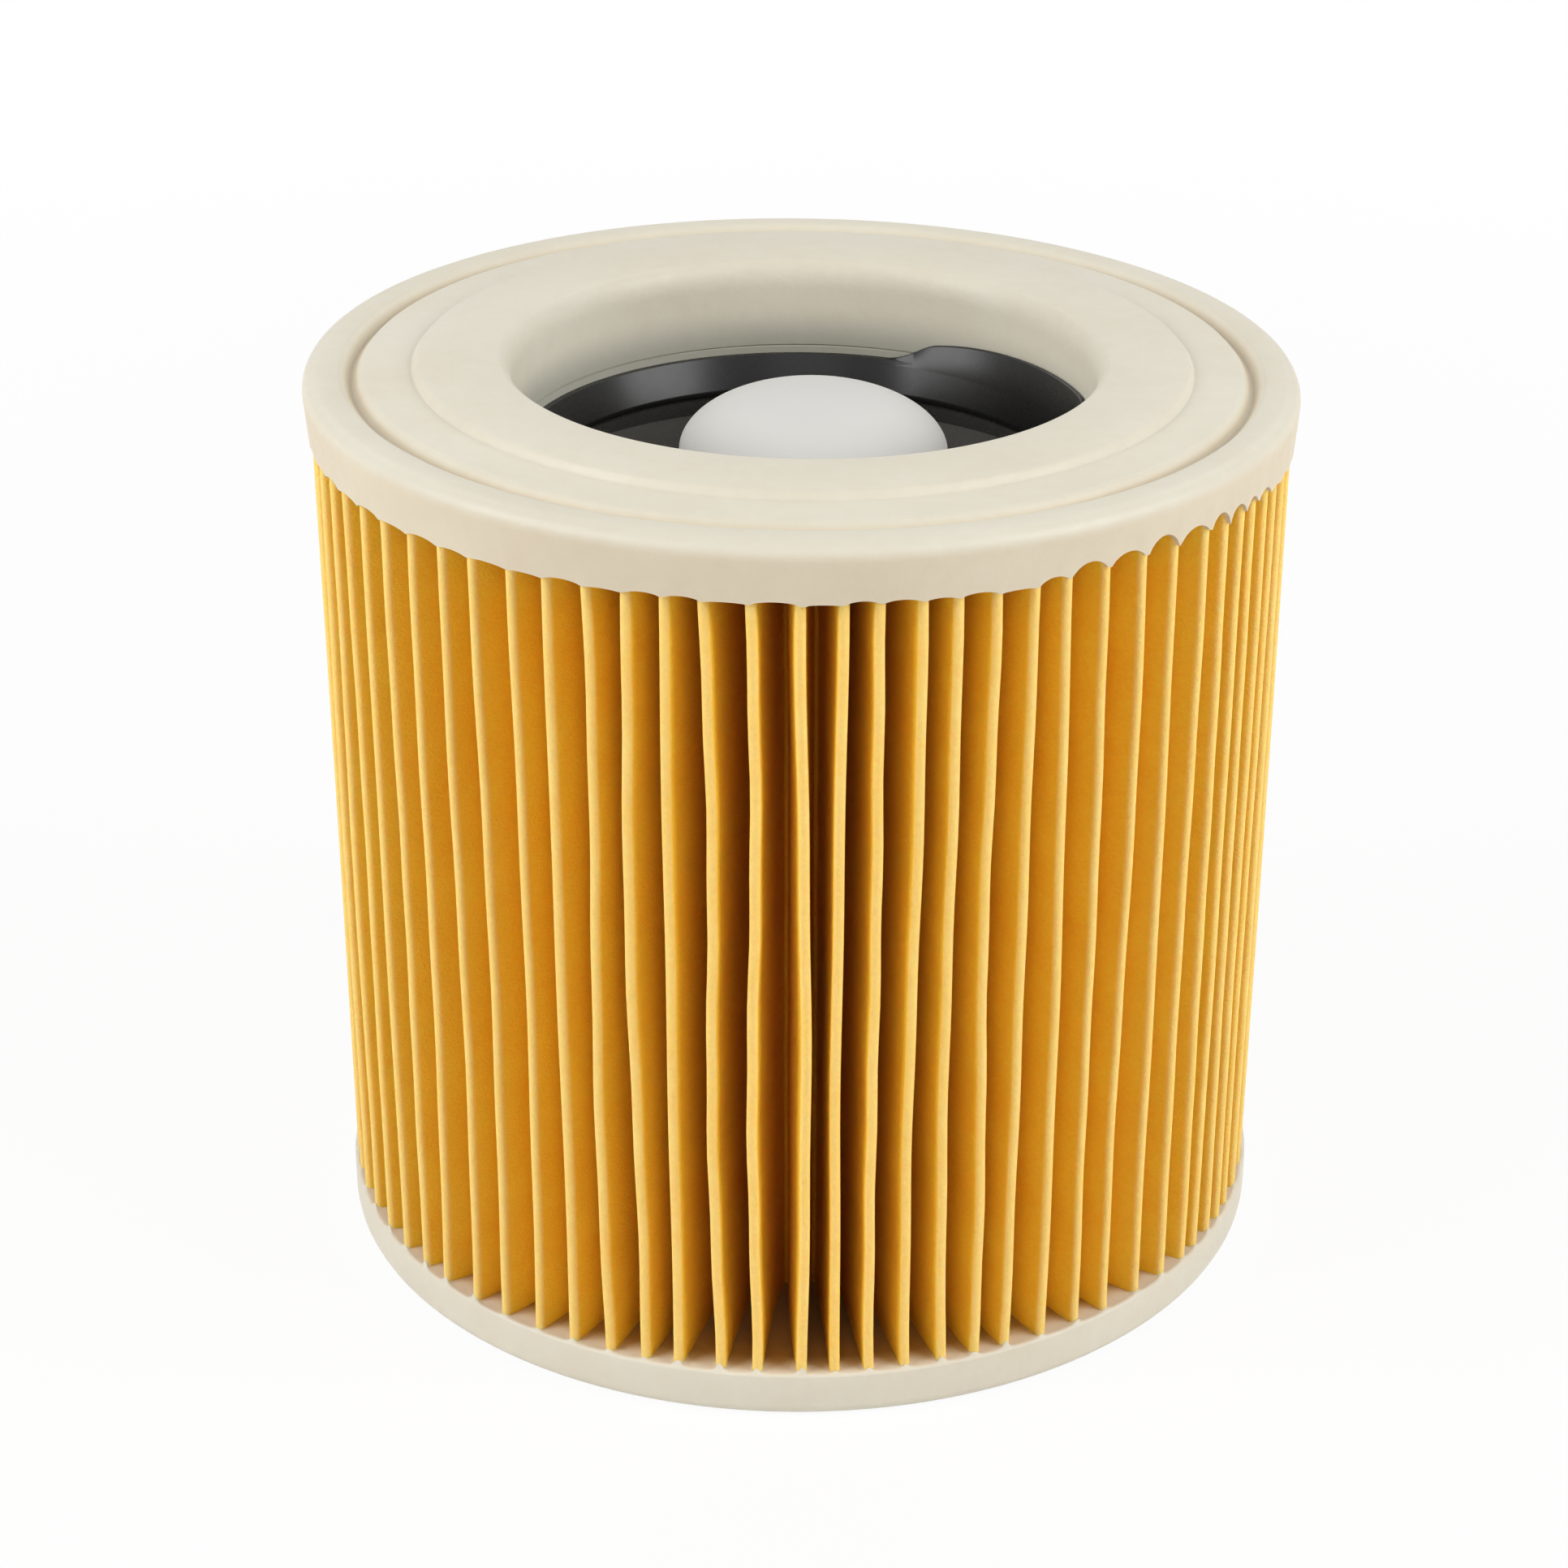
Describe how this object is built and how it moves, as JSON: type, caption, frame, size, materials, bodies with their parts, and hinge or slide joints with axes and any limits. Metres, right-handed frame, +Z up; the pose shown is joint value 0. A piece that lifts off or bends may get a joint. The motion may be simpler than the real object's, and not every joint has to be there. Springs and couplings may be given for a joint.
{
  "type": "pleated cartridge filter",
  "caption": "Round pleated paper cartridge filter for a wet and dry vacuum cleaner, with moulded end caps, a suction opening on top, a support cage and a shut-off float.",
  "frame": {"origin": "centre of the underside, on the filter's axis", "axes": "+Z up along the filter's axis towards the suction opening, -Y towards the viewer of the picture"},
  "size_m": [0.1166, 0.1166, 0.1112],
  "materials": {
    "cream_polyurethane": "satin moulded polyurethane",
    "filter_paper": "matt resin-treated filter paper",
    "black_plastic": "satin moulded plastic",
    "white_plastic": "soft gloss moulded plastic"
  },
  "bodies": {
    "filter": {"top_end_cap": "cream_polyurethane", "bottom_end_cap": "cream_polyurethane", "pleated_media": "filter_paper", "support_cage": "black_plastic", "float_guide": "black_plastic"},
    "float": {"shutoff_float": "white_plastic"}
  },
  "joints": [
    {"name": "float_lift", "type": "slide", "parent": "filter", "child": "float", "axis": [0, 0, 1], "range_m": [0, 0.01]}
  ]
}
